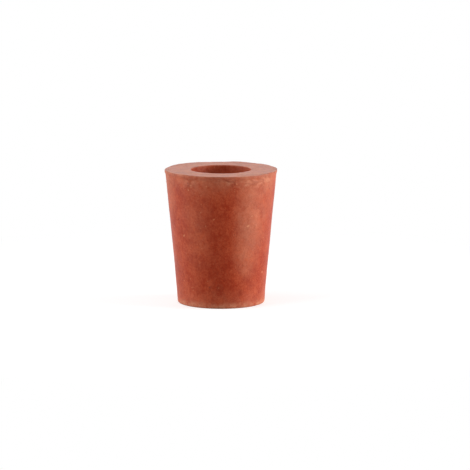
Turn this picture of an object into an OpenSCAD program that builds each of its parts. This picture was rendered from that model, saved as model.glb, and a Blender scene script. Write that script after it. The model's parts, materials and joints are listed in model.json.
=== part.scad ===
// Tapered rubber stopper, moulded in one piece, with a stepped bore.
// It stands on its narrow face. The origin is the centre of that face, and +Z runs up the axis.

/* [Plug] */
// Diameter of the tapered side, carried up to the wide face
wide_d = 22; // [19:0.5:32]
// Diameter of the tapered side, carried down to the narrow face
narrow_d = 17; // [12:0.5:21]
// Height from the narrow face to the wide face
plug_h = 26.5; // [12:0.5:50]
// Radius of the edge round the narrow face
base_edge_r = 0.4; // [0.1:0.05:1.5]

/* [Lip] */
// How far the moulded lip stands out from the side at the wide face
lip_proud = 0.15; // [0.05:0.01:0.6]
// Height of the lip below the wide face, from the foot of its flare
lip_h = 0.9; // [0.5:0.05:3]
// Height of the lip's upright band below the wide face
lip_band_h = 0.35; // [0.2:0.05:0.45]
// Radius of the edge round the wide face
lip_edge_r = 0.12; // [0.05:0.01:0.2]

/* [Recess] */
// Diameter of the recess in the wide face
recess_d = 11.8; // [9:0.2:17]
// Depth of the recess
recess_depth = 5; // [1.5:0.5:20]
// Radius of the edge at the recess's mouth
recess_mouth_r = 0.15; // [0.05:0.05:0.6]
// Radius of the fillet round the recess's floor
recess_floor_r = 0.5; // [0.1:0.1:1]

/* [Hole] */
// Diameter of the hole from the recess's floor to the narrow face
hole_d = 6.6; // [2:0.2:8.8]
// Radius of the hole's edge at the recess's floor
hole_top_edge_r = 0.4; // [0.1:0.1:1]
// Radius of the hole's edge at the narrow face
hole_base_edge_r = 0.3; // [0.1:0.1:1]

/* [Hidden] */

rubber_red = [0.69, 0.34, 0.25];
ARC_STEPS = 6;
$fn = 144;

wide_r = wide_d / 2;
narrow_r = narrow_d / 2;
recess_r = recess_d / 2;
hole_r = hole_d / 2;
lip_r = wide_r + lip_proud;
recess_floor_z = plug_h - recess_depth;
// Lean of the side from upright
taper = atan((wide_r - narrow_r) / plug_h);

// Radius of the tapered side at height z
function side_r(z) = narrow_r + z * tan(taper);

// Points of an arc of radius r about centre, from one angle to another
function arc(centre, r, from, to) =
    [for (i = [0:ARC_STEPS])
        let (a = from + (to - from) * i / ARC_STEPS)
        centre + r * [cos(a), sin(a)]];

// Edge from the narrow face round to the side, tangent to both
function base_edge() =
    arc([narrow_r - base_edge_r * (1 - sin(taper)) / cos(taper), base_edge_r], base_edge_r, -90, -taper);

// Side, flare and upright band of the lip, and the edge round the wide face
function lip() = concat(
    [[side_r(plug_h - lip_h), plug_h - lip_h], [lip_r, plug_h - lip_band_h]],
    arc([lip_r - lip_edge_r, plug_h - lip_edge_r], lip_edge_r, 0, 90));

// Mouth edge, wall and floor fillet of the recess
function recess() = concat(
    arc([recess_r + recess_mouth_r, plug_h - recess_mouth_r], recess_mouth_r, 90, 180),
    arc([recess_r - recess_floor_r, recess_floor_z + recess_floor_r], recess_floor_r, 0, -90));

// Eased edge at the recess's floor, wall, and eased edge at the narrow face
function hole() = concat(
    arc([hole_r + hole_top_edge_r, recess_floor_z - hole_top_edge_r], hole_top_edge_r, 90, 180),
    arc([hole_r + hole_base_edge_r, hole_base_edge_r], hole_base_edge_r, 180, 270));

// Half section of the stopper, turned about the axis
module stopper()
    color(rubber_red)
        rotate_extrude()
            polygon(concat(base_edge(), lip(), recess(), hole()));

stopper();
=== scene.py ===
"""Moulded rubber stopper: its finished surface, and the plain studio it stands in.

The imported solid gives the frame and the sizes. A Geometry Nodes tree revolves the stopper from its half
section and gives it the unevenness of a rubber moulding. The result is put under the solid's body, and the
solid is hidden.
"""

import json
import math
from typing import NamedTuple

import bmesh
import bpy
from bpy.props import FloatProperty, FloatVectorProperty, IntProperty, PointerProperty
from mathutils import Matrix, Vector


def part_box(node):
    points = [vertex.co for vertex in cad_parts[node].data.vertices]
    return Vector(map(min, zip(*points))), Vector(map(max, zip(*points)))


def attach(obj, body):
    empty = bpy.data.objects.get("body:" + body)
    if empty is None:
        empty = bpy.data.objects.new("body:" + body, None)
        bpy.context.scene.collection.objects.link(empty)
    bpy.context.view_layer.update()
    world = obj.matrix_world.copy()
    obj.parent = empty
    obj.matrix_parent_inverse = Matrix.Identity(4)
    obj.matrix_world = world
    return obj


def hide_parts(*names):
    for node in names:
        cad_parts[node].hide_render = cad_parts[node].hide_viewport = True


bl_info = {
    "name": "Rubber Stopper",
    "version": (1, 0, 0),
    "blender": (4, 5, 0),
    "location": "3D View > Sidebar > Stopper",
    "description": "Makes a moulded rubber stopper with a stepped bore, and a plain studio for it",
    "category": "Add Mesh",
}

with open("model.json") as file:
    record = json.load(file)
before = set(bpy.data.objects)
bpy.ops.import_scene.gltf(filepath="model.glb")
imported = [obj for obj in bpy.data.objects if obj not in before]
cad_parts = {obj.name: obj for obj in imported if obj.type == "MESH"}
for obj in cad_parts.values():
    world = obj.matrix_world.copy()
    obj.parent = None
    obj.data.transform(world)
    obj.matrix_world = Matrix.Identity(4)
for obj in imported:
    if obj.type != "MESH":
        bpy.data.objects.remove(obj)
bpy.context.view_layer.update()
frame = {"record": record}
MM = 0.001

NODE = "stopper"
BODY = "root"

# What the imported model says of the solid: its box, and the walls and faces that its mounts name.
BASE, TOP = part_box(NODE)
MIDDLE = Vector((0, 0, (BASE.z + TOP.z) / 2))
MOUNTS = {mount["name"]: mount for mount in frame["record"]["mounts"]}
BORE_RADIUS = {name: MOUNTS[name]["dims"]["r_mm"] * MM for name in ("recess", "through_hole")}
RECESS_FLOOR_Z = MOUNTS["recess_floor"]["pos_m"][2]

# How much smaller than the solid's the lip is made, so that it can wander and stay inside the solid's box.
LIP_ROOM = 0.045 * MM


# --- The settings ---------------------------------------------------------------------------------------


def length(name, description, default):
    """A size in metres, shown as a length in the sidebar."""
    return FloatProperty(
        name=name, description=description, default=default, min=0, unit="LENGTH", precision=5
    )


def share(name, description, default, high=1.0):
    """A plain number from 0 to high."""
    return FloatProperty(
        name=name, description=description, default=default, min=0, max=high, subtype="FACTOR"
    )


def angle(name, description, default):
    """An angle, given in degrees and kept in radians."""
    return FloatProperty(name=name, description=description, default=math.radians(default), subtype="ANGLE")


def power(name, description, default):
    """A lamp's power in watts."""
    return FloatProperty(name=name, description=description, default=default, min=0, unit="POWER")


def linear(level):
    """Linear light of an sRGB level from 0 to 255."""
    part = level / 255
    return part / 12.92 if part <= 0.04045 else ((part + 0.055) / 1.055) ** 2.4


def colour(name, description, levels):
    """A colour, given as three sRGB levels from 0 to 255 and kept as linear light."""
    return FloatVectorProperty(
        name=name,
        description=description,
        default=[linear(level) for level in levels],
        size=3,
        min=0,
        max=1,
        subtype="COLOR",
    )


class StopperSizes(bpy.types.PropertyGroup):
    """Sizes of the stopper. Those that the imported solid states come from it."""

    wide_radius: length("Wide radius", "Radius of the tapered side at the wide face", 11 * MM)
    narrow_radius: length("Narrow radius", "Radius of the tapered side at the narrow face", 8.5 * MM)
    height: length("Height", "From the narrow face to the wide face", TOP.z - BASE.z)
    base_edge: length("Base edge", "Radius of the edge round the narrow face", 0.4 * MM)
    lip_radius: length("Lip radius", "Outer radius of the lip at the wide face", TOP.x - LIP_ROOM)
    lip_height: length("Lip height", "From the foot of the lip's flare to the wide face", 0.9 * MM)
    lip_band: length("Lip band", "Height of the lip's upright band", 0.35 * MM)
    lip_foot: length("Lip foot", "Radius of the hollow at the foot of the lip", 1.2 * MM)
    lip_edge: length("Lip edge", "Radius of the edge round the wide face", 0.06 * MM)
    recess_radius: length("Recess radius", "Radius of the recess in the wide face", BORE_RADIUS["recess"])
    recess_depth: length("Recess depth", "Depth of the recess", TOP.z - RECESS_FLOOR_Z)
    recess_mouth: length("Recess mouth", "Radius of the edge at the recess's mouth", 0.15 * MM)
    recess_fillet: length("Recess fillet", "Radius of the fillet round the recess's floor", 0.5 * MM)
    hole_radius: length("Hole radius", "Radius of the hole below the recess", BORE_RADIUS["through_hole"])
    hole_top_edge: length("Hole top edge", "Radius of the hole's edge at the recess's floor", 0.4 * MM)
    hole_base_edge: length("Hole base edge", "Radius of the hole's edge at the narrow face", 0.3 * MM)


class MouldMarks(bpy.types.PropertyGroup):
    """How far the moulding strays from its plain turned shape."""

    segments: IntProperty(name="Segments", description="Steps round the axis", default=360, min=12, max=720)
    spacing: length("Spacing", "Longest step along the half section", 0.2 * MM)
    lip_unevenness: length("Lip unevenness", "How far the lip's trimmed edge wanders in and out", 0.04 * MM)
    rim_wave: length("Rim wave", "Height of the waves in the wide face's outer edge", 0.12 * MM)
    foot_swell: length("Foot swell", "How far the side swells out at the base", 0.08 * MM)
    dents: length("Dents", "Depth of the broad dents in the side", 0.05 * MM)
    creases: length("Creases", "Depth of the flow creases below the lip", 0.07 * MM)
    crease_reach: length("Crease reach", "How far below the wide face the creases run", 2.8 * MM)
    pocks: length("Pocks", "Depth of the pocks, and height of the blisters, that air leaves", 0.08 * MM)
    seed: IntProperty(name="Seed", description="Sets where the marks fall", default=7, min=0)
    rim_seed: IntProperty(name="Rim seed", description="Sets where the rim's waves fall", default=585, min=0)


class RubberFinish(bpy.types.PropertyGroup):
    """Colours and surface of the rubber."""

    deep: colour("Deep", "The rubber where it is darkest", (151, 39, 0))
    pale: colour("Pale", "The rubber where it is palest", (181, 74, 39))
    # Also the colour of painted light: the side lights' sheen and highlights, the floor's light on the base's
    # edge, and highlights on crests and blisters.
    bloom: colour("Bloom", "Dusty bloom", (212, 149, 116))
    speck: colour("Speck", "Chalky filler specks", (216, 148, 106))
    # Also the colour of the painted shade in the creases and pocks below the lip.
    stain: colour("Stain", "Dark stains and small pits", (92, 28, 16))
    grime: colour("Grime", "Grey grime", (122, 74, 62))
    mottle: share("Mottle", "Strength of the light and dark mottling", 1.0, 3.0)
    side_bloom: share("Side bloom", "How much bloom lies on the side", 0.018)
    rim_bloom: share("Rim bloom", "How much more bloom lies on the side below the lip", 0.2)
    foot_bloom: share("Foot bloom", "How much more bloom lies on the side above the narrow face", 0.1)
    # Painted light from the floor below: a paler band, in the bloom colour, along the edge round the narrow
    # face.
    edge_bloom: share("Edge bloom", "How much more bloom lies along the edge round the narrow face", 0.32)
    rim_reach: length("Rim reach", "How far from the faces that bloom reaches", 5 * MM)
    face_bloom: share("Face bloom", "How much more bloom lies on the wide face", 0.18)
    side_grime: share("Side grime", "How much grime lies in smudges on the side", 0.08)
    face_grime: share("Face grime", "How much grime lies in blotches on the wide face", 0.22)
    # The lip's edge is made greyer and darker all round, in the grime colour.
    lip_grime: share("Lip grime", "How much grime lies along the lip's edge", 0.1)
    # Painted highlight: the crests beside the creases and the blisters below the lip are made paler, in the
    # bloom colour.
    crest_bloom: share("Crest bloom", "How much more bloom lies on the crests beside the creases", 0.16)
    # Painted shade: the creases and pocks below the lip are darkened, in the stain colour.
    groove_stain: share("Groove stain", "How dark the stain is in the creases", 0.25)
    # Painted sheen: the paler patches on the right and left of the side stand for the side lights' broad
    # reflections, in the bloom colour.
    thumb_bloom: share("Thumb bloom", "How much more bloom lies where a thumb holds the side", 0.24)
    thumb_bearing: angle("Thumb bearing", "The thumb's patch, from the front round to the right", 35)
    finger_bloom: share("Finger bloom", "How much more bloom lies where a finger holds the side", 0.1)
    finger_bearing: angle("Finger bearing", "The finger's patch, from the front round to the right", -29)
    # Painted highlights: the paler patches just below the lip, on the right and left, stand for where the
    # side lights catch it, in the bloom colour.
    scuff_bloom: share("Scuff bloom", "How much more bloom lies on the scuff below the lip", 0.13)
    scuff_bearing: angle("Scuff bearing", "The scuffed patch, from the front round to the right", 61)
    graze_bloom: share("Graze bloom", "How much more bloom lies on the graze below the lip", 0.12)
    graze_bearing: angle("Graze bearing", "The grazed patch, from the front round to the right", -72)
    patch_width: angle("Patch width", "Half the width of the thumb's and the finger's patch", 17)
    patch_height: length("Patch height", "Half the height of the thumb's and the finger's patch", 9 * MM)
    roughness: share("Roughness", "Roughness of the clean rubber", 0.4)
    gloss: share("Gloss", "Strength of the mirrored light, where half is that of plain plastic", 0.17)
    seed: IntProperty(name="Seed", description="Sets where mottling, bloom and grime fall", default=21, min=0)


class StudioSetup(bpy.types.PropertyGroup):
    """Floor, lights and camera."""

    floor: colour("Floor", "Pale floor", (204, 204, 204))
    key_power: power("Key", "Power of the light on the right", 1.92)
    fill_power: power("Fill", "Power of the light on the left", 0.72)
    upper_power: power("Upper", "Power of the light high on the left", 0.45)
    back_power: power("Back", "Power of the light behind", 0.38)
    room_light: share("Room", "Level of the light that comes from all round", 0.35)
    camera_distance: length("Camera distance", "From the camera to the stopper's middle", 743.4 * MM)
    camera_elevation: angle("Camera elevation", "Height of the camera's line of sight", 9.054)
    aim_side: length("Aim side", "How far right of the axis the camera aims", 2.756 * MM)
    aim_rise: length("Aim rise", "How far above the stopper's middle the camera aims", 0.1 * MM)
    lens: FloatProperty(name="Lens", description="Focal length in millimetres", default=287.9, min=1)


SETTINGS = {
    "stopper_sizes": StopperSizes,
    "stopper_marks": MouldMarks,
    "stopper_finish": RubberFinish,
    "stopper_studio": StudioSetup,
}


# --- Building node trees --------------------------------------------------------------------------------

# Where a Mix node keeps its sockets for colours. Those for numbers and vectors have the same names.
MIX_FACTOR = 0
MIX_FIRST = 6
MIX_SECOND = 7
MIX_RESULT = 2

WHITE = (1.0, 1.0, 1.0)


class Waves(NamedTuple):
    """A pattern of noise: its waves to a millimetre, its step from the first seed, and how fine it is."""

    per_mm: float
    seed_step: int
    detail: float
    roughness: float = 0.5


class Wiring:
    """Adds nodes to one tree, each fed by values or by other nodes' outputs."""

    def __init__(self, tree):
        self.tree = tree

    def feed(self, socket, value):
        """Gives a socket a value, or links it to an output or to a node's first output."""
        if isinstance(value, bpy.types.Node):
            value = next(output for output in value.outputs if output.enabled)
        if isinstance(value, bpy.types.NodeSocket):
            self.tree.links.new(value, socket)
        else:
            socket.default_value = value

    def add(self, kind, inputs=None, **settings):
        """A node of that kind, with its settings made first and its inputs then fed by name."""
        made = self.tree.nodes.new(kind)
        for name, value in settings.items():
            setattr(made, name, value)
        for name, value in (inputs or {}).items():
            self.feed(made.inputs[name], value)
        return made

    def in_order(self, kind, values, **settings):
        """A node of that kind, with its inputs fed in order."""
        made = self.add(kind, **settings)
        for socket, value in zip(made.inputs, values):
            self.feed(socket, value)
        return made

    def math(self, operation, *values):
        """A Math node's result."""
        return self.in_order("ShaderNodeMath", values, operation=operation).outputs[0]

    def vector(self, operation, *values):
        """A Vector Math node's vector."""
        return self.in_order("ShaderNodeVectorMath", values, operation=operation).outputs["Vector"]

    def measure(self, operation, *values):
        """A Vector Math node's number, such as a length or a distance."""
        return self.in_order("ShaderNodeVectorMath", values, operation=operation).outputs["Value"]

    def scaled(self, vector, factor):
        """The vector times a number."""
        made = self.add("ShaderNodeVectorMath", {"Vector": vector, "Scale": factor}, operation="SCALE")
        return made.outputs["Vector"]

    def combine(self, x, y, z):
        """A vector of three numbers."""
        return self.add("ShaderNodeCombineXYZ", {"X": x, "Y": y, "Z": z}).outputs[0]

    def split(self, vector):
        """The three numbers of a vector."""
        return self.add("ShaderNodeSeparateXYZ", {"Vector": vector}).outputs

    def total(self, *values):
        """All values added."""
        result = values[0]
        for value in values[1:]:
            result = self.math("ADD", result, value)
        return result

    def product(self, *values):
        """All values multiplied."""
        result = values[0]
        for value in values[1:]:
            result = self.math("MULTIPLY", result, value)
        return result

    def hypotenuse(self, across, along):
        """How far a place is that lies so far across and so far along."""
        return self.math("SQRT", self.total(self.product(across, across), self.product(along, along)))

    def ramp(self, value, start, end, low=0.0, high=1.0):
        """low at start, high at end, and a smooth step between them."""
        ends = {"Value": value, "From Min": start, "From Max": end, "To Min": low, "To Max": high}
        return self.add("ShaderNodeMapRange", ends, interpolation_type="SMOOTHSTEP").outputs["Result"]

    def noise(self, place, waves, first_seed):
        """Noise from 0 to 1. place is in millimetres, and the first seed is a number or an output."""
        if isinstance(first_seed, bpy.types.NodeSocket):
            seed = self.math("ADD", first_seed, float(waves.seed_step))
        else:
            seed = float(first_seed + waves.seed_step)
        inputs = {
            "Vector": place,
            "W": seed,
            "Scale": waves.per_mm,
            "Detail": waves.detail,
            "Roughness": waves.roughness,
        }
        return self.add("ShaderNodeTexNoise", inputs, noise_dimensions="4D").outputs["Fac"]

    def mixed(self, factor, first, second):
        """A blend of two colours."""
        made = self.add("ShaderNodeMix", data_type="RGBA")
        self.feed(made.inputs[MIX_FACTOR], factor)
        self.feed(made.inputs[MIX_FIRST], first)
        self.feed(made.inputs[MIX_SECOND], second)
        return made.outputs[MIX_RESULT]


def fresh_wiring(owner):
    """Wiring for the nodes of a material or a world, emptied first."""
    owner.use_nodes = True
    owner.node_tree.nodes.clear()
    return Wiring(owner.node_tree)


def opaque(tint):
    """A colour with its alpha."""
    return (*tint, 1.0)


# --- The stopper's shape --------------------------------------------------------------------------------

# The circle that the half section is swept round, and the steps in each of the section's round corners.
RAIL_RADIUS = 1 * MM
ARC_STEPS = 7
# How many times longer the steps are down the hole than on the side.
HOLE_STEP = 4.0

# Noise stays within about a quarter of its middle, and this spreads it to between -1 and 1.
WANDER_SPREAD = 4.0
LIP_WAVES = Waves(per_mm=0.12, seed_step=0, detail=3.0)
RIM_WAVES = Waves(per_mm=0.18, seed_step=0, detail=2.0)
DENT_WAVES = Waves(per_mm=0.14, seed_step=2, detail=2.5)
FOLD_WAVES = Waves(per_mm=1.0, seed_step=3, detail=1.0)
CREASED_PARTS = Waves(per_mm=0.2, seed_step=4, detail=1.0)

# The attribute that holds the small relief below the lip: above 0 on a crest or a blister, and below 0 in a
# groove or a pock.
RELIEF = "relief"

# Heights above the base to which its calm edge and its swell reach.
CALM_BASE = 1.5 * MM
SWELL_HEIGHT = 3.5 * MM
# Distances in from the lip's edge between which the face stops moving with it.
RIM_DEPTH = (0.2 * MM, 1.4 * MM)
# Depths below the wide face between which the creases begin, and the share of their reach from which they
# fade.
CREASE_START = (0.4 * MM, 0.8 * MM)
CREASE_FADE = 0.5
# Levels of noise between which a part of the rim becomes creased.
CREASED_LEVELS = (0.48, 0.62)
# What stretches the creases round the stopper.
DRAWN_ROUND = (0.4, 0.4, 1.0)
# Levels of a fold's wander, away from 0: those that its groove spans, and those between which the crest
# beside it rises and falls.
GROOVE_SPAN = (0.0, 0.35)
CREST_RISE = (0.2, 0.45)
CREST_FALL = (0.5, 0.9)
# Cells to a millimetre, each with room for one pock or blister.
AIR_CELLS = 0.75
# The share of cells that hold one: down to AIR_START below the wide face, and past the creases.
AIR_SHARES = (0.5, 0.04)
AIR_START = 0.5 * MM
# The share of them that are sunk, and the distances from their middles, in cells, between which they slope.
SUNK_SHARE = 0.6
AIR_SLOPE = (0.06, 0.26)
# Depths below the wide face between which they come to their full height.
AIR_CLEAR = (0.2 * MM, 0.5 * MM)


def switch(wiring, index, values, data_type):
    """One of the values, chosen by the index."""
    made = wiring.add("GeometryNodeIndexSwitch", {"Index": index}, data_type=data_type)
    for _ in values[2:]:
        made.index_switch_items.new()
    for number, value in enumerate(values):
        wiring.feed(made.inputs[str(number)], value)
    return made.outputs[0]


def half_section(wiring, size):
    """Closed curve of the half section: eight corners, each rounded by its own radius, in fine steps.

    It lies as the revolve needs it: X is the distance from the rail, and Y is the height downwards.
    """
    lip_foot_z = wiring.math("SUBTRACT", size["Height"], size["Lip height"])
    widening = wiring.math("SUBTRACT", size["Wide radius"], size["Narrow radius"])
    lean = wiring.math("DIVIDE", widening, size["Height"])
    lip_foot_r = wiring.math("MULTIPLY_ADD", lean, lip_foot_z, size["Narrow radius"])
    lip_band_z = wiring.math("SUBTRACT", size["Height"], size["Lip band"])
    floor_z = wiring.math("SUBTRACT", size["Height"], size["Recess depth"])
    corners = [
        (size["Narrow radius"], 0.0, size["Base edge"]),
        (lip_foot_r, lip_foot_z, size["Lip foot"]),
        (size["Lip radius"], lip_band_z, size["Lip edge"]),
        (size["Lip radius"], size["Height"], size["Lip edge"]),
        (size["Recess radius"], size["Height"], size["Recess mouth"]),
        (size["Recess radius"], floor_z, size["Recess fillet"]),
        (size["Hole radius"], floor_z, size["Hole top edge"]),
        (size["Hole radius"], 0.0, size["Hole base edge"]),
    ]
    places = []
    for radius, height, _ in corners:
        from_rail = wiring.math("SUBTRACT", radius, RAIL_RADIUS)
        downwards = wiring.math("MULTIPLY", height, -1.0)
        places.append(wiring.combine(from_rail, downwards, 0.0))

    index = wiring.add("GeometryNodeInputIndex")
    line = wiring.add("GeometryNodeCurvePrimitiveLine")
    dotted = wiring.add("GeometryNodeResampleCurve", {"Curve": line, "Count": len(corners)})
    at_corners = {"Geometry": dotted, "Position": switch(wiring, index, places, "VECTOR")}
    placed = wiring.add("GeometryNodeSetPosition", at_corners)
    closed = wiring.add("GeometryNodeSetSplineCyclic", {"Geometry": placed, "Cyclic": True})
    edges = switch(wiring, index, [edge for _, _, edge in corners], "FLOAT")
    rounding = {"Curve": closed, "Count": ARC_STEPS, "Radius": edges, "Limit Radius": True}
    rounded = wiring.add("GeometryNodeFilletCurve", rounding, mode="POLY")
    return stepped(wiring, rounded, index, size)


def stepped(wiring, curve, index, size):
    """The curve with its straight stretches cut into steps: fine on the side, and longer down the hole."""
    position = wiring.add("GeometryNodeInputPosition")
    following = wiring.add("GeometryNodeOffsetPointInCurve", {"Point Index": index, "Offset": 1})
    at_next = {"Index": following.outputs["Point Index"], "Value": position}
    next_place = wiring.add("GeometryNodeFieldAtIndex", at_next, data_type="FLOAT_VECTOR")
    stretch = wiring.measure("DISTANCE", position, next_place)
    from_axis = wiring.math("ADD", wiring.split(position)[0], RAIL_RADIUS)
    coarseness = wiring.ramp(from_axis, size["Hole radius"], size["Recess radius"], HOLE_STEP, 1.0)
    step = wiring.math("MULTIPLY", size["Spacing"], coarseness)
    cuts = wiring.math("FLOOR", wiring.math("DIVIDE", stretch, step))
    return wiring.add("GeometryNodeSubdivideCurve", {"Curve": curve, "Cuts": cuts})


class Skin:
    """What each point of the turned surface knows of its place. Its masks run from 0 to 1."""

    def __init__(self, wiring, size):
        position = wiring.add("GeometryNodeInputPosition")
        x, y, self.z = wiring.split(position)
        self.in_mm = wiring.scaled(position, 1 / MM)
        self.normal = wiring.add("GeometryNodeInputNormal")
        self.outward = wiring.vector("NORMALIZE", wiring.combine(x, y, 0.0))
        self.from_axis = wiring.hypotenuse(x, y)
        self.below_face = wiring.math("SUBTRACT", size["Height"], self.z)
        fade_start = wiring.math("MULTIPLY", size["Crease reach"], CREASE_FADE)
        # The masks: outside the recess, clear of the base, and as near the lip as the creases run.
        self.outside = wiring.ramp(self.from_axis, size["Recess radius"], size["Narrow radius"])
        self.off_base = wiring.ramp(self.z, 0.0, CALM_BASE)
        self.near_lip = wiring.ramp(self.below_face, fade_start, size["Crease reach"], 1.0, 0.0)


def wander(wiring, place, waves, seed):
    """Noise that wanders about 0, mostly between -1 and 1."""
    spread = wiring.math("SUBTRACT", wiring.noise(place, waves, seed), 0.5)
    return wiring.math("MULTIPLY", spread, WANDER_SPREAD)


def lip_wander(wiring, skin, size):
    """How far the lip is trimmed out of true, outwards and upwards."""
    lip_foot_z = wiring.math("SUBTRACT", size["Height"], size["Lip height"])
    lip_band_z = wiring.math("SUBTRACT", size["Height"], size["Lip band"])
    from_edge = wiring.math("SUBTRACT", size["Lip radius"], skin.from_axis)
    near_edge = wiring.ramp(from_edge, *RIM_DEPTH, 1.0, 0.0)
    on_lip = wiring.product(wiring.ramp(skin.z, lip_foot_z, lip_band_z), near_edge)
    in_and_out = wander(wiring, skin.in_mm, LIP_WAVES, size["Seed"])
    up_and_down = wander(wiring, skin.in_mm, RIM_WAVES, size["Rim seed"])
    outwards = wiring.product(in_and_out, size["Lip unevenness"], on_lip)
    upwards = wiring.product(up_and_down, size["Rim wave"], on_lip)
    return outwards, upwards


def flow_creases(wiring, skin, size):
    """Grooves below the lip, from -1 to 0, and the crests beside them, from 0 to 1."""
    creased = wiring.product(
        wiring.ramp(skin.below_face, *CREASE_START),
        skin.near_lip,
        wiring.ramp(wiring.noise(skin.in_mm, CREASED_PARTS, size["Seed"]), *CREASED_LEVELS),
        skin.outside,
    )
    drawn_round = wiring.vector("MULTIPLY", skin.in_mm, DRAWN_ROUND)
    fold = wiring.math("ABSOLUTE", wander(wiring, drawn_round, FOLD_WAVES, size["Seed"]))
    groove = wiring.product(wiring.ramp(fold, *GROOVE_SPAN, -1.0, 0.0), creased)
    crest = wiring.product(wiring.ramp(fold, *CREST_RISE), wiring.ramp(fold, *CREST_FALL, 1.0, 0.0), creased)
    return groove, crest


def air_marks(wiring, skin, size):
    """Pocks, from -1 to 0, and blisters, from 0 to 1, at most one to a cell and mostly below the lip."""
    cells = wiring.add("ShaderNodeTexVoronoi", {"Vector": skin.in_mm, "Scale": AIR_CELLS})
    chance, side, _ = wiring.split(cells.outputs["Color"])
    filled = wiring.ramp(skin.below_face, AIR_START, size["Crease reach"], *AIR_SHARES)
    kept = wiring.math("LESS_THAN", chance, filled)
    raised = wiring.math("GREATER_THAN", side, SUNK_SHARE)
    up_or_down = wiring.math("SUBTRACT", wiring.math("MULTIPLY", raised, 2.0), 1.0)
    dome = wiring.ramp(cells.outputs["Distance"], *AIR_SLOPE, 1.0, 0.0)
    return wiring.product(dome, kept, up_or_down, skin.outside, skin.off_base)


def moulding_marks(wiring, mesh, size):
    """The turned surface with what the mould and the trimming leave, and an attribute of its small relief."""
    skin = Skin(wiring, size)
    lip_outwards, lip_upwards = lip_wander(wiring, skin, size)
    groove, crest = flow_creases(wiring, skin, size)
    air = air_marks(wiring, skin, size)
    hollows = wander(wiring, skin.in_mm, DENT_WAVES, size["Seed"])

    dents = wiring.product(hollows, size["Dents"], skin.outside, skin.off_base)
    creases = wiring.math("MULTIPLY", groove, size["Creases"])
    pocks = wiring.product(air, size["Pocks"], wiring.ramp(skin.below_face, *AIR_CLEAR))
    at_foot = wiring.ramp(skin.z, 0.0, SWELL_HEIGHT, 1.0, 0.0)
    swell = wiring.product(at_foot, size["Foot swell"], skin.outside)

    along_normal = wiring.scaled(skin.normal, wiring.total(dents, creases, pocks))
    outwards = wiring.scaled(skin.outward, wiring.math("ADD", lip_outwards, swell))
    upwards = wiring.combine(0.0, 0.0, lip_upwards)
    moved = wiring.vector("ADD", along_normal, wiring.vector("ADD", outwards, upwards))

    relief = wiring.math("MULTIPLY_ADD", air, skin.near_lip, wiring.math("ADD", crest, groove))
    noting = {"Geometry": mesh, "Name": RELIEF, "Value": relief}
    noted = wiring.add("GeometryNodeStoreNamedAttribute", noting, data_type="FLOAT", domain="POINT")
    return wiring.add("GeometryNodeSetPosition", {"Geometry": noted, "Offset": moved})


def tree_settings(*groups):
    """What the tree takes from those groups of settings: each one's definition, and its value."""
    for group in groups:
        for name in type(group).__annotations__:
            yield group.bl_rna.properties[name], getattr(group, name)


def stopper_tree(sizes, marks):
    """The Geometry Nodes tree that revolves the half section and marks the surface."""
    tree = bpy.data.node_groups.new("Moulded stopper", "GeometryNodeTree")
    new_socket = tree.interface.new_socket
    new_socket("Geometry", in_out="OUTPUT", socket_type="NodeSocketGeometry")
    for setting, _ in tree_settings(sizes, marks):
        kind = "NodeSocketInt" if setting.type == "INT" else "NodeSocketFloat"
        new_socket(setting.name, in_out="INPUT", socket_type=kind)
    new_socket("Material", in_out="INPUT", socket_type="NodeSocketMaterial")

    wiring = Wiring(tree)
    size = wiring.add("NodeGroupInput").outputs
    circle = {"Resolution": size["Segments"], "Radius": RAIL_RADIUS}
    rail = wiring.add("GeometryNodeCurvePrimitiveCircle", circle)
    turning = {"Curve": rail, "Profile Curve": half_section(wiring, size)}
    turned = wiring.add("GeometryNodeCurveToMesh", turning)
    marked = moulding_marks(wiring, turned, size)
    smooth = wiring.add("GeometryNodeSetShadeSmooth", {"Geometry": marked})
    real = wiring.add("GeometryNodeRealizeInstances", {"Geometry": smooth})
    finished = wiring.add("GeometryNodeSetMaterial", {"Geometry": real, "Material": size["Material"]})
    wiring.add("NodeGroupOutput", {"Geometry": finished})
    return tree


def set_input(modifier, label, value):
    """Gives the modifier's input of that label a value, by the socket's identifier."""
    modifier[modifier.node_group.interface.items_tree[label].identifier] = value


def turned_mesh(sizes, marks, material):
    """The tree's result as a plain mesh, with its faces outwards."""
    maker = bpy.data.objects.new("maker", bpy.data.meshes.new("maker"))
    bpy.context.scene.collection.objects.link(maker)
    modifier = maker.modifiers.new("Moulded stopper", "NODES")
    modifier.node_group = stopper_tree(sizes, marks)
    for setting, value in tree_settings(sizes, marks):
        set_input(modifier, setting.name, value)
    set_input(modifier, "Material", material)
    evaluated = maker.evaluated_get(bpy.context.evaluated_depsgraph_get())
    mesh = bpy.data.meshes.new_from_object(evaluated)
    bpy.data.objects.remove(maker)

    shell = bmesh.new()
    shell.from_mesh(mesh)
    bmesh.ops.recalc_face_normals(shell, faces=shell.faces)
    if any(not edge.is_manifold for edge in shell.edges) or shell.calc_volume(signed=True) <= 0:
        raise RuntimeError("the stopper's mesh isn't a closed shell with its faces outwards")
    shell.to_mesh(mesh)
    shell.free()
    return mesh


# --- The rubber -----------------------------------------------------------------------------------------
# Lengths in this section are in millimetres.


class Spots(NamedTuple):
    """One kind of round spot, at most one to a cell: its cells, its largest radius and its strength.

    filled is the share of cells that hold a spot, and number tells this kind's pattern from another's.
    """

    cell: float
    radius: float
    filled: float
    number: int
    strength: float


class Patch(NamedTuple):
    """A ragged patch of painted light in the bloom colour: its middle's share of the height, and its size as
    a share of the right sheen's.

    A patch that is side_only stops at the wide face.
    """

    level: float
    size: float
    side_only: bool


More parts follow.
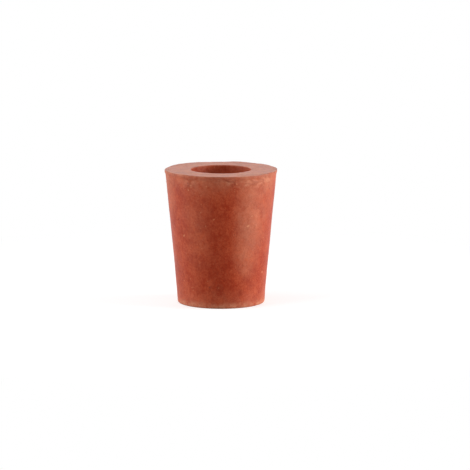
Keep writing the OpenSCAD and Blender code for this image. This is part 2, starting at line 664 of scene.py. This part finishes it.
# The mottling from coarse to fine, each with its weight, and then the grain.
MOTTLES = (
    (Waves(per_mm=0.22, seed_step=0, detail=1.0), 1.0),
    (Waves(per_mm=0.5, seed_step=1, detail=2.0), 1.7),
    (Waves(per_mm=2.0, seed_step=6, detail=2.0, roughness=0.6), 1.7),
)
GRAIN = Waves(per_mm=4.0, seed_step=2, detail=3.0, roughness=0.75)
GRAIN_WEIGHT = 1.6
FINE_GRAIN = Waves(per_mm=7.0, seed_step=4, detail=3.0, roughness=0.6)

# Depths below the wide face between which the side's finish gives way to the face's.
FACE_START = (0.25, 0.02)

# Three films of bloom, the levels of noise between which each thickens, and how much each adds.
FILMS = (
    Waves(per_mm=0.4, seed_step=3, detail=3.0, roughness=0.6),
    Waves(per_mm=1.0, seed_step=10, detail=2.0, roughness=0.6),
    Waves(per_mm=2.6, seed_step=5, detail=3.0, roughness=0.7),
)
FILM_LEVELS = (0.3, 0.7)
FILM_WEIGHT = 0.67
# The share of the films' unevenness that the wide face's bloom and the painted light patches keep.
KEPT_UNEVENNESS = 0.5
# Heights above the base between which the painted light from the floor, along the base's edge, fades.
FLOOR_LIGHT_FADE = (0.4, 1.5)
# The share of the bloom and the painted floor light near the faces that lies in the recess, and the width
# outside the recess's wall over which it grows to the whole.
RECESS_SHARE = 0.55
RECESS_BORDER = 0.3

# Paler patches that are painted light: the right and left sheen stand for the side lights' broad reflections
# on the side, and the right and left highlights for where the side lights catch the side just below the lip.
PAINTED_LIGHT_PATCHES = {
    "thumb": Patch(level=0.62, size=1.0, side_only=False),
    "finger": Patch(level=0.62, size=1.0, side_only=False),
    "scuff": Patch(level=0.86, size=0.75, side_only=True),
    "graze": Patch(level=0.9, size=0.75, side_only=True),
}
# Where a patch fades, in half widths from its middle, and the noise that makes its edge ragged.
PATCH_FADE = (0.3, 1.6)
PATCH_EDGE = Waves(per_mm=0.3, seed_step=7, detail=2.0)

# The grime's patterns, and the levels of noise between which each thickens.
SMUDGES = Waves(per_mm=0.16, seed_step=9, detail=4.0, roughness=0.6)
SMUDGE_LEVELS = (0.46, 0.66)
BLOTCHES = Waves(per_mm=0.45, seed_step=8, detail=3.0, roughness=0.6)
BLOTCH_LEVELS = (0.45, 0.62)
# Distances in from the lip's edge between which its greying begins.
LIP_GREYING_START = (0.5, 0.1)

STAINS = Spots(cell=4.5, radius=1.0, filled=0.35, number=4, strength=0.18)
LARGE_SPECKS = Spots(cell=2.2, radius=0.36, filled=0.4, number=1, strength=0.45)
SMALL_SPECKS = Spots(cell=1.1, radius=0.2, filled=0.35, number=2, strength=0.3)
RIM_SPECKS = Spots(cell=1.5, radius=0.32, filled=0.8, number=5, strength=0.5)
PITS = Spots(cell=2.2, radius=0.28, filled=0.35, number=3, strength=0.5)
# The noise that gathers the rim's specks in parts of it, and the depths between which they thicken upwards.
GATHERED = Waves(per_mm=0.2, seed_step=11, detail=1.0)
GATHERED_LEVELS = (0.38, 0.52)
RIM_SPECK_DEPTHS = (4.0, 2.0)
# The smallest spot's radius as a share of the largest's, and the share of a spot's radius that is solid.
SMALLEST_SPOT = 0.4
SOLID_SPOT = 0.55
# How far apart the patterns of two kinds of spots lie.
SPOT_SHIFT = (3.7, 1.9, 5.3)

# What bloom and grain add to the roughness, and the height of the grain's bumps.
BLOOM_ROUGHNESS = 0.25
GRAIN_ROUGHNESS = 0.1
FINE_GRAIN_SHARE = 0.4
BUMP_HEIGHT = 0.04


class Surface:
    """What each shaded point of the stopper knows of its place. Its masks run from 0 to 1."""

    def __init__(self, wiring, sizes):
        self.wiring = wiring
        self.place = wiring.scaled(wiring.add("ShaderNodeTexCoord").outputs["Object"], 1 / MM)
        self.x, self.y, self.z = wiring.split(self.place)
        self.from_axis = wiring.hypotenuse(self.x, self.y)
        self.relief = wiring.add("ShaderNodeAttribute", attribute_name=RELIEF).outputs["Fac"]
        self.top = sizes.height / MM
        self.recess_radius = sizes.recess_radius / MM
        self.on_face = wiring.ramp(self.z, *self.below_top(FACE_START))
        self.off_face = wiring.math("SUBTRACT", 1.0, self.on_face)

    def below_top(self, depths):
        """The heights at those depths below the wide face."""
        return [self.top - depth for depth in depths]

    def past_recess(self, inside=0.0):
        """inside within the recess's wall, and 1 a little outside it."""
        wall = self.recess_radius
        return self.wiring.ramp(self.from_axis, wall, wall + RECESS_BORDER, inside)


def ragged(wiring, place, amount):
    """The place shifted to and fro by up to about that amount, so that what is drawn there looks ragged."""
    pattern = {"Vector": place, "Scale": 0.5 / amount, "Detail": 2.0}
    wave = wiring.add("ShaderNodeTexNoise", pattern).outputs["Color"]
    about_zero = wiring.vector("SUBTRACT", wave, (0.5, 0.5, 0.5))
    return wiring.vector("ADD", place, wiring.scaled(about_zero, 2.0 * amount))


def spots(wiring, place, kind, filled=None):
    """Round spots of that kind: 1 in a spot and 0 outside. filled may vary from place to place."""
    shift = [kind.number * part for part in SPOT_SHIFT]
    shifted = wiring.vector("ADD", ragged(wiring, place, kind.radius), shift)
    cells = wiring.add("ShaderNodeTexVoronoi", {"Vector": shifted, "Scale": 1 / kind.cell})
    chance, size, _ = wiring.add("ShaderNodeSeparateColor", {"Color": cells.outputs["Color"]}).outputs
    kept = wiring.math("LESS_THAN", chance, kind.filled if filled is None else filled)
    radius = wiring.math("MULTIPLY_ADD", size, 1.0 - SMALLEST_SPOT, SMALLEST_SPOT)
    outer = wiring.math("MULTIPLY", radius, kind.radius / kind.cell)
    inner = wiring.math("MULTIPLY", outer, SOLID_SPOT)
    disc = wiring.ramp(cells.outputs["Distance"], inner, outer, 1.0, 0.0)
    return wiring.math("MULTIPLY", disc, kept)


def mottling(wiring, surface, finish, grain):
    """How pale the rubber is, from 0 to 1."""
    layers = [(wiring.noise(surface.place, waves, finish.seed), weight) for waves, weight in MOTTLES]
    layers.append((grain, GRAIN_WEIGHT))
    paleness = 0.5
    for layer, weight in layers:
        spread = wiring.math("SUBTRACT", layer, 0.5)
        paleness = wiring.math("MULTIPLY_ADD", spread, weight * finish.mottle, paleness)
    return wiring.math("MINIMUM", wiring.math("MAXIMUM", paleness, 0.0), 1.0)


def patches(wiring, surface, finish):
    """Painted sheen and highlights of the side lights, in ragged patches of the bloom colour."""
    bearing = wiring.math("ARCTAN2", surface.x, wiring.math("MULTIPLY", surface.y, -1.0))
    straying = wiring.math("SUBTRACT", wiring.noise(surface.place, PATCH_EDGE, finish.seed), 0.5)
    covers = []
    for name, patch in PAINTED_LIGHT_PATCHES.items():
        most = getattr(finish, f"{name}_bloom")
        if patch.side_only:
            most = wiring.math("MULTIPLY", most, surface.off_face)
        aside = wiring.math("SUBTRACT", bearing, getattr(finish, f"{name}_bearing"))
        above = wiring.math("SUBTRACT", surface.z, patch.level * surface.top)
        across = wiring.math("DIVIDE", aside, patch.size * finish.patch_width)
        along = wiring.math("DIVIDE", above, patch.size * finish.patch_height / MM)
        away = wiring.math("ADD", wiring.hypotenuse(across, along), straying)
        covers.append(wiring.ramp(away, *PATCH_FADE, most, 0.0))
    return wiring.total(*covers)


def bloom_cover(wiring, surface, finish):
    """How much of the bloom colour covers each place: dusty bloom, most near the faces, and painted light on
    the crests, in the patches and along the base's edge.
    """
    films = [wiring.ramp(wiring.noise(surface.place, film, finish.seed), *FILM_LEVELS) for film in FILMS]
    unevenness = wiring.math("MULTIPLY", wiring.total(*films), FILM_WEIGHT)
    smoothed = wiring.math("MULTIPLY_ADD", unevenness, KEPT_UNEVENNESS, 1.0 - KEPT_UNEVENNESS)

    reach = finish.rim_reach / MM
    below_lip = wiring.ramp(surface.z, surface.top - reach, surface.top, 0.0, finish.rim_bloom)
    at_foot = wiring.ramp(surface.z, 0.0, reach, finish.foot_bloom, 0.0)
    # Painted light from the floor below: a paler band along the edge round the narrow face.
    floor_light = wiring.ramp(surface.z, *FLOOR_LIGHT_FADE, finish.edge_bloom, 0.0)
    near_faces = wiring.total(below_lip, at_foot, floor_light)
    thinned_inside = wiring.math("MULTIPLY", near_faces, surface.past_recess(RECESS_SHARE))
    dust_and_floor_light = wiring.math("ADD", thinned_inside, finish.side_bloom)

    on_face = wiring.math("MULTIPLY", surface.on_face, finish.face_bloom)
    # Painted sheen and highlights: the patches that stand for the side lights, added to the wide face's
    # bloom.
    painted_light_and_face_bloom = wiring.math("ADD", patches(wiring, surface, finish), on_face)
    laid = wiring.total(wiring.product(dust_and_floor_light, unevenness), wiring.product(painted_light_and_face_bloom, smoothed))
    # Painted highlight: crests and blisters below the lip are made paler.
    crest = wiring.math("MAXIMUM", surface.relief, 0.0)
    return wiring.math("MULTIPLY_ADD", crest, finish.crest_bloom, laid)


def grime_cover(wiring, surface, finish, sizes):
    """How much grime colour covers each place: smudged on the side, blotched on the wide face, and greying
    the lip's edge all round.
    """
    smudges = wiring.ramp(wiring.noise(surface.place, SMUDGES, finish.seed), *SMUDGE_LEVELS)
    blotches = wiring.ramp(wiring.noise(surface.place, BLOTCHES, finish.seed), *BLOTCH_LEVELS)
    on_side = wiring.product(smudges, surface.off_face, finish.side_grime)
    on_face = wiring.math("MULTIPLY", blotches, surface.on_face)
    laid = wiring.math("MULTIPLY_ADD", on_face, finish.face_grime, on_side)

    # The lip's edge is made greyer and darker all round, in the grime colour.
    flare = surface.below_top((sizes.lip_height / MM, sizes.lip_band / MM))
    border = [sizes.lip_radius / MM - inset for inset in LIP_GREYING_START]
    on_lip = wiring.product(wiring.ramp(surface.z, *flare), wiring.ramp(surface.from_axis, *border))
    return wiring.math("MULTIPLY_ADD", on_lip, finish.lip_grime, laid)


def rim_specks(wiring, surface, finish):
    """Chalky specks that gather in parts of the rim."""
    near_rim = wiring.ramp(surface.z, *surface.below_top(RIM_SPECK_DEPTHS), 0.0, RIM_SPECKS.filled)
    gathered = wiring.ramp(wiring.noise(surface.place, GATHERED, finish.seed), *GATHERED_LEVELS)
    filled = wiring.product(near_rim, gathered, surface.past_recess())
    return spots(wiring, surface.place, RIM_SPECKS, filled)


def rubber_material(finish, sizes):
    """Red rubber: mottled, dusty on its faces, with chalky specks, stains, small pits and a fine grain."""
    # Its colour also holds painted light and shade: the side lights' sheen and highlights, the floor's light
    # on the base's edge, highlights on crests and blisters, and shade in creases and pocks.
    material = bpy.data.materials.new("Red rubber")
    wiring = fresh_wiring(material)
    shader = wiring.add("ShaderNodeBsdfPrincipled", {"Specular IOR Level": finish.gloss})
    wiring.add("ShaderNodeOutputMaterial", {"Surface": shader})

    surface = Surface(wiring, sizes)
    place = surface.place
    grain = wiring.noise(place, GRAIN, finish.seed)
    paleness = mottling(wiring, surface, finish, grain)
    # This mask holds dust and painted light: the side lights' sheen and highlights, the floor's light and
    # highlights on crests.
    bloom = bloom_cover(wiring, surface, finish)
    # The grime mask also greys the lip's edge all round.
    grime = grime_cover(wiring, surface, finish, sizes)
    tone = wiring.mixed(paleness, opaque(finish.deep), opaque(finish.pale))
    tone = wiring.mixed(bloom, tone, opaque(finish.bloom))
    tone = wiring.mixed(grime, tone, opaque(finish.grime))

    pits = spots(wiring, place, PITS)
    # Painted shade: the creases and pocks below the lip are darkened in the stain colour.
    groove = wiring.math("MAXIMUM", wiring.math("MULTIPLY", surface.relief, -1.0), 0.0)
    marks = (
        (groove, finish.groove_stain, finish.stain),
        (spots(wiring, place, STAINS), STAINS.strength, finish.stain),
        (spots(wiring, place, LARGE_SPECKS), LARGE_SPECKS.strength, finish.speck),
        (spots(wiring, place, SMALL_SPECKS), SMALL_SPECKS.strength, finish.speck),
        (rim_specks(wiring, surface, finish), RIM_SPECKS.strength, finish.speck),
        (pits, PITS.strength, finish.stain),
    )
    for mark, strength, tint in marks:
        tone = wiring.mixed(wiring.math("MULTIPLY", mark, strength), tone, opaque(tint))
    wiring.feed(shader.inputs["Base Color"], tone)

    dusty = wiring.math("MULTIPLY_ADD", bloom, BLOOM_ROUGHNESS, finish.roughness)
    roughness = wiring.math("MULTIPLY_ADD", grain, GRAIN_ROUGHNESS, dusty)
    wiring.feed(shader.inputs["Roughness"], roughness)

    fine_grain = wiring.noise(place, FINE_GRAIN, finish.seed)
    bumps = wiring.math("MULTIPLY_ADD", fine_grain, FINE_GRAIN_SHARE, grain)
    height = wiring.math("SUBTRACT", bumps, pits)
    bump = wiring.add("ShaderNodeBump", {"Strength": 1.0, "Distance": BUMP_HEIGHT * MM, "Height": height})
    wiring.feed(shader.inputs["Normal"], bump)
    return material


class STOPPER_OT_mould(bpy.types.Operator):
    """Make the moulded stopper"""

    bl_idname = "stopper.mould"
    bl_label = "Mould the stopper"

    def execute(self, context):
        scene = context.scene
        material = rubber_material(scene.stopper_finish, scene.stopper_sizes)
        mesh = turned_mesh(scene.stopper_sizes, scene.stopper_marks, material)
        piece = bpy.data.objects.new("moulded_stopper", mesh)
        scene.collection.objects.link(piece)
        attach(piece, BODY)
        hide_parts(NODE)
        return {"FINISHED"}


# --- The studio -----------------------------------------------------------------------------------------


class Softbox(NamedTuple):
    """A square soft light that is turned to the stopper. Its distance and width are in metres.

    bearing is in degrees from the camera's side round to the right, and elevation in degrees upwards.
    """

    bearing: float
    elevation: float
    distance: float
    width: float


SOFTBOXES = {
    "key": Softbox(bearing=85, elevation=5, distance=0.35, width=0.2),
    "fill": Softbox(bearing=-93, elevation=5, distance=0.35, width=0.12),
    "upper": Softbox(bearing=-60, elevation=40, distance=0.4, width=0.2),
    "back": Softbox(bearing=180, elevation=18, distance=0.4, width=0.3),
}

# Half the floor's width in metres, and its gap below the stopper's base.
FLOOR_HALF = 3.0
FLOOR_GAP = 0.01 * MM
# The glow that lifts the floor towards white where the background is seen, and the distances from the axis
# between which the floor fades to plain white.
FLOOR_GLOW = 0.6
FLOOR_FADE = (30 * MM, 90 * MM)

# The sensor's width in millimetres, and the nearest that the camera sees in metres.
SENSOR_WIDTH = 36
CLIP_START = 10 * MM


def seen_directly(wiring):
    """1 for the camera's, mirrored and transmitted rays, which show the background, and 0 for the others."""
    rays = wiring.add("ShaderNodeLightPath").outputs
    seen = wiring.math("MAXIMUM", rays["Is Camera Ray"], rays["Is Glossy Ray"])
    return wiring.math("MAXIMUM", seen, rays["Is Transmission Ray"])


def floor_material(studio):
    """Pale floor that keeps the stopper's shadow and fades to plain white away from it."""
    material = bpy.data.materials.new("Pale floor")
    wiring = fresh_wiring(material)
    matt = wiring.add("ShaderNodeBsdfDiffuse", {"Color": opaque(studio.floor)})
    glow = wiring.add("ShaderNodeEmission", {"Color": opaque(WHITE), "Strength": FLOOR_GLOW})
    near = wiring.in_order("ShaderNodeAddShader", (matt, glow))
    white = wiring.add("ShaderNodeEmission", {"Color": opaque(WHITE), "Strength": 1.0})
    place = wiring.add("ShaderNodeTexCoord").outputs["Object"]
    fade = wiring.ramp(wiring.measure("LENGTH", place), *FLOOR_FADE)
    shown = wiring.in_order("ShaderNodeMixShader", (fade, near, white))
    chosen = wiring.in_order("ShaderNodeMixShader", (seen_directly(wiring), matt, shown))
    wiring.add("ShaderNodeOutputMaterial", {"Surface": chosen})
    return material


def add_floor(studio):
    """The floor, just below the stopper's base."""
    mesh = bpy.data.meshes.new("floor")
    corners = [(-1, -1), (1, -1), (1, 1), (-1, 1)]
    places = [(x * FLOOR_HALF, y * FLOOR_HALF, BASE.z - FLOOR_GAP) for x, y in corners]
    mesh.from_pydata(places, [], [(0, 1, 2, 3)])
    mesh.materials.append(floor_material(studio))
    floor = bpy.data.objects.new("floor", mesh)
    bpy.context.scene.collection.objects.link(floor)


def add_room(studio):
    """Even light from all round, and plain white wherever the background is seen."""
    world = bpy.data.worlds.new("room")
    wiring = fresh_wiring(world)
    room = wiring.add("ShaderNodeBackground", {"Color": opaque(WHITE), "Strength": studio.room_light})
    white = wiring.add("ShaderNodeBackground", {"Color": opaque(WHITE), "Strength": 1.0})
    chosen = wiring.in_order("ShaderNodeMixShader", (seen_directly(wiring), room, white))
    wiring.add("ShaderNodeOutputWorld", {"Surface": chosen})
    bpy.context.scene.world = world


def add_softbox(name, watts, softbox):
    """One soft light, turned to the stopper's middle."""
    light = bpy.data.lights.new(name, "AREA")
    light.energy = watts
    light.shape = "SQUARE"
    light.size = softbox.width
    bearing, elevation = math.radians(softbox.bearing), math.radians(softbox.elevation)
    flat = math.cos(elevation)
    towards = Vector((math.sin(bearing) * flat, -math.cos(bearing) * flat, math.sin(elevation)))
    lamp = bpy.data.objects.new(name, light)
    lamp.location = MIDDLE + towards * softbox.distance
    lamp.rotation_euler = towards.to_track_quat("Z", "Y").to_euler()
    lamp.visible_camera = False
    bpy.context.scene.collection.objects.link(lamp)


def add_camera(studio):
    """The camera, at the height and distance of the main view."""
    rise, run = math.sin(studio.camera_elevation), math.cos(studio.camera_elevation)
    camera = bpy.data.objects.new("camera", bpy.data.cameras.new("camera"))
    camera.data.lens = studio.lens
    camera.data.sensor_width = SENSOR_WIDTH
    camera.data.clip_start = CLIP_START
    camera.location = MIDDLE + Vector((0, -run, rise)) * studio.camera_distance
    aim = MIDDLE + Vector((studio.aim_side, 0, studio.aim_rise))
    camera.rotation_euler = (camera.location - aim).to_track_quat("Z", "Y").to_euler()
    bpy.context.scene.collection.objects.link(camera)
    bpy.context.scene.camera = camera


class STOPPER_OT_studio(bpy.types.Operator):
    """Set the floor, the lights and the camera"""

    bl_idname = "stopper.studio"
    bl_label = "Set up the studio"

    def execute(self, context):
        studio = context.scene.stopper_studio
        add_camera(studio)
        add_floor(studio)
        add_room(studio)
        for name, softbox in SOFTBOXES.items():
            add_softbox(name, getattr(studio, f"{name}_power"), softbox)
        context.scene.view_settings.view_transform = "Standard"
        return {"FINISHED"}


# --- The add-on -----------------------------------------------------------------------------------------


class STOPPER_PT_panel(bpy.types.Panel):
    """The stopper's settings and what makes it"""

    bl_label = "Rubber stopper"
    bl_space_type = "VIEW_3D"
    bl_region_type = "UI"
    bl_category = "Stopper"

    def draw(self, context):
        for name, group in SETTINGS.items():
            box = self.layout.box()
            box.label(text=group.bl_rna.name)
            for prop in group.__annotations__:
                box.prop(getattr(context.scene, name), prop)
        for operator in OPERATORS:
            self.layout.operator(operator.bl_idname)


OPERATORS = (STOPPER_OT_mould, STOPPER_OT_studio)
CLASSES = (*SETTINGS.values(), *OPERATORS, STOPPER_PT_panel)


def register():
    for item in CLASSES:
        bpy.utils.register_class(item)
    for name, group in SETTINGS.items():
        setattr(bpy.types.Scene, name, PointerProperty(type=group))


def unregister():
    for name in SETTINGS:
        delattr(bpy.types.Scene, name)
    for item in reversed(CLASSES):
        bpy.utils.unregister_class(item)


def main():
    """Makes the stopper and its studio."""
    register()
    bpy.ops.stopper.mould()
    bpy.ops.stopper.studio()


if __name__ == "__main__":
    main()
